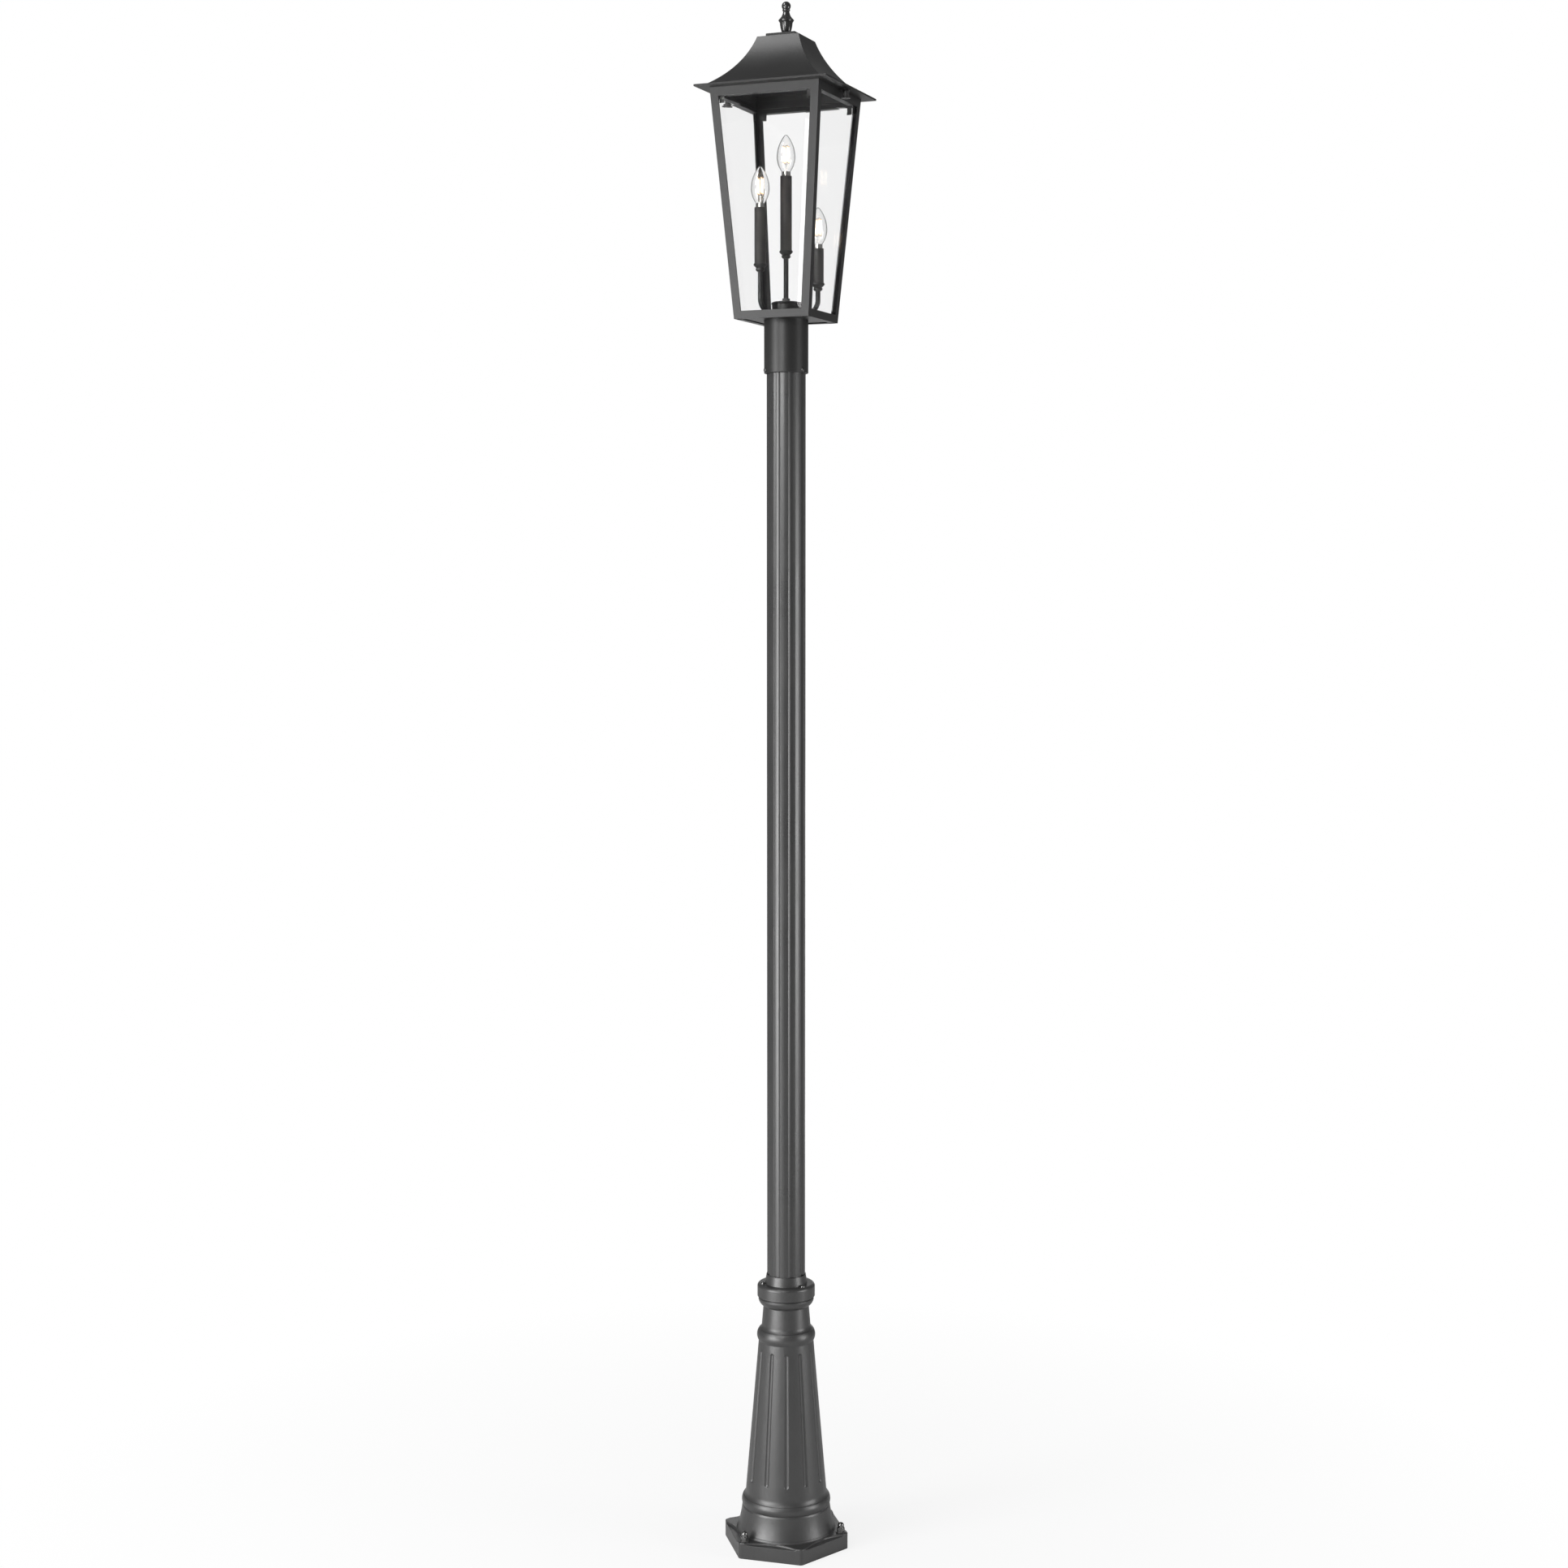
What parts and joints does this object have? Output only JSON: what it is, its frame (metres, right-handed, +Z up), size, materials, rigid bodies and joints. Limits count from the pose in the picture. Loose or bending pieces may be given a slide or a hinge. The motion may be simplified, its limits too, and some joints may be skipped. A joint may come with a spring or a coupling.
{
  "type": "triple head lamp post",
  "caption": "Tall fluted garden lamp post on a bell-shaped hexagonal cast base, with a tapered square glass lantern that holds a cluster of candle lamps under a lift-off swept roof.",
  "frame": {"origin": "centre of the base's underside, on the post's axis, at ground level", "axes": "+Z up along the post, -Y out through the lantern's front pane, +X through its right-hand pane"},
  "size_m": [0.271, 0.271, 3.058],
  "materials": {
    "base_metal": "fine sand-textured black powder coat on cast aluminium",
    "post_metal": "fine sand-textured black powder coat",
    "lantern_metal": "fine sand-textured black powder coat",
    "dark_hardware": "black oxide",
    "hardware": "zinc-plated steel",
    "black_nickel": "smooth satin black",
    "pane_glass": "clear plate glass with a wide bevel",
    "bulb_glass": "clear blown glass",
    "sleeve_black": "matte black sleeve",
    "socket_plastic": "moulded black phenolic",
    "lamp_chrome": "nickel-plated brass",
    "filament_white": "glass stem with phosphor-coated filament sticks"
  },
  "bodies": {
    "post_body": {"base_casting": "base_metal", "anchor_washers": "dark_hardware", "anchor_nuts": "black_nickel", "post_coupling": "base_metal", "coupling_screws": "black_nickel", "post_tube": "post_metal", "fitter_cup": "lantern_metal", "fitter_set_screws": "dark_hardware", "bottom_pan": "lantern_metal", "pan_screws": "dark_hardware", "glass_clips": "dark_hardware", "roof_ears": "lantern_metal", "candle_hub": "lantern_metal", "hub_nut": "dark_hardware", "arm_ferrules": "dark_hardware", "corner_post_front_left": "lantern_metal", "corner_post_front_right": "lantern_metal", "corner_post_back_right": "lantern_metal", "corner_post_back_left": "lantern_metal", "foot_rail_front": "lantern_metal", "top_rail_front": "lantern_metal", "glass_pane_front": "pane_glass", "foot_rail_right": "lantern_metal", "top_rail_right": "lantern_metal", "glass_pane_right": "pane_glass", "foot_rail_back": "lantern_metal", "top_rail_back": "lantern_metal", "glass_pane_back": "pane_glass", "foot_rail_left": "lantern_metal", "top_rail_left": "lantern_metal", "glass_pane_left": "pane_glass", "candle_stem_centre": "lantern_metal", "bobeche_centre": "lantern_metal", "candle_sleeve_centre": "sleeve_black", "lamp_socket_centre": "socket_plastic", "candle_stem_left": "lantern_metal", "bobeche_left": "lantern_metal", "candle_sleeve_left": "sleeve_black", "lamp_socket_left": "socket_plastic", "candle_stem_right": "lantern_metal", "bobeche_right": "lantern_metal", "candle_sleeve_right": "sleeve_black", "lamp_socket_right": "socket_plastic"},
    "roof": {"roof_shell": "lantern_metal", "roof_cap": "lantern_metal", "roof_studs": "hardware", "finial_nut": "hardware"},
    "finial": {"finial": "black_nickel"},
    "thumb_nut_right": {"thumb_nut_right": "black_nickel"},
    "thumb_nut_left": {"thumb_nut_left": "black_nickel"},
    "bulb_centre": {"bulb_base_centre": "lamp_chrome", "bulb_glass_centre": "bulb_glass", "bulb_filament_centre": "filament_white"},
    "bulb_left": {"bulb_base_left": "lamp_chrome", "bulb_glass_left": "bulb_glass", "bulb_filament_left": "filament_white"},
    "bulb_right": {"bulb_base_right": "lamp_chrome", "bulb_glass_right": "bulb_glass", "bulb_filament_right": "filament_white"}
  },
  "joints": [
    {"name": "roof_lift", "type": "slide", "parent": "post_body", "child": "roof", "axis": [0, 0, 1], "range_m": [0, 0.2]},
    {"name": "finial_turn", "type": "hinge", "parent": "roof", "child": "finial", "pos_m": [0, 0, 3.02], "axis": [0, 0, 1], "continuous": true},
    {"name": "thumb_nut_right_turn", "type": "hinge", "parent": "post_body", "child": "thumb_nut_right", "pos_m": [0.1236, 0, 2.873], "axis": [0, 0, 1], "continuous": true},
    {"name": "thumb_nut_left_turn", "type": "hinge", "parent": "post_body", "child": "thumb_nut_left", "pos_m": [-0.1236, 0, 2.873], "axis": [0, 0, 1], "continuous": true},
    {"name": "bulb_centre_turn", "type": "hinge", "parent": "post_body", "child": "bulb_centre", "pos_m": [0, 0, 2.75], "axis": [0, 0, 1], "continuous": true},
    {"name": "bulb_left_turn", "type": "hinge", "parent": "post_body", "child": "bulb_left", "pos_m": [-0.03295, -0.05074, 2.69], "axis": [0, 0, 1], "continuous": true},
    {"name": "bulb_right_turn", "type": "hinge", "parent": "post_body", "child": "bulb_right", "pos_m": [0.05569, 0.02364, 2.62], "axis": [0, 0, 1], "continuous": true}
  ]
}
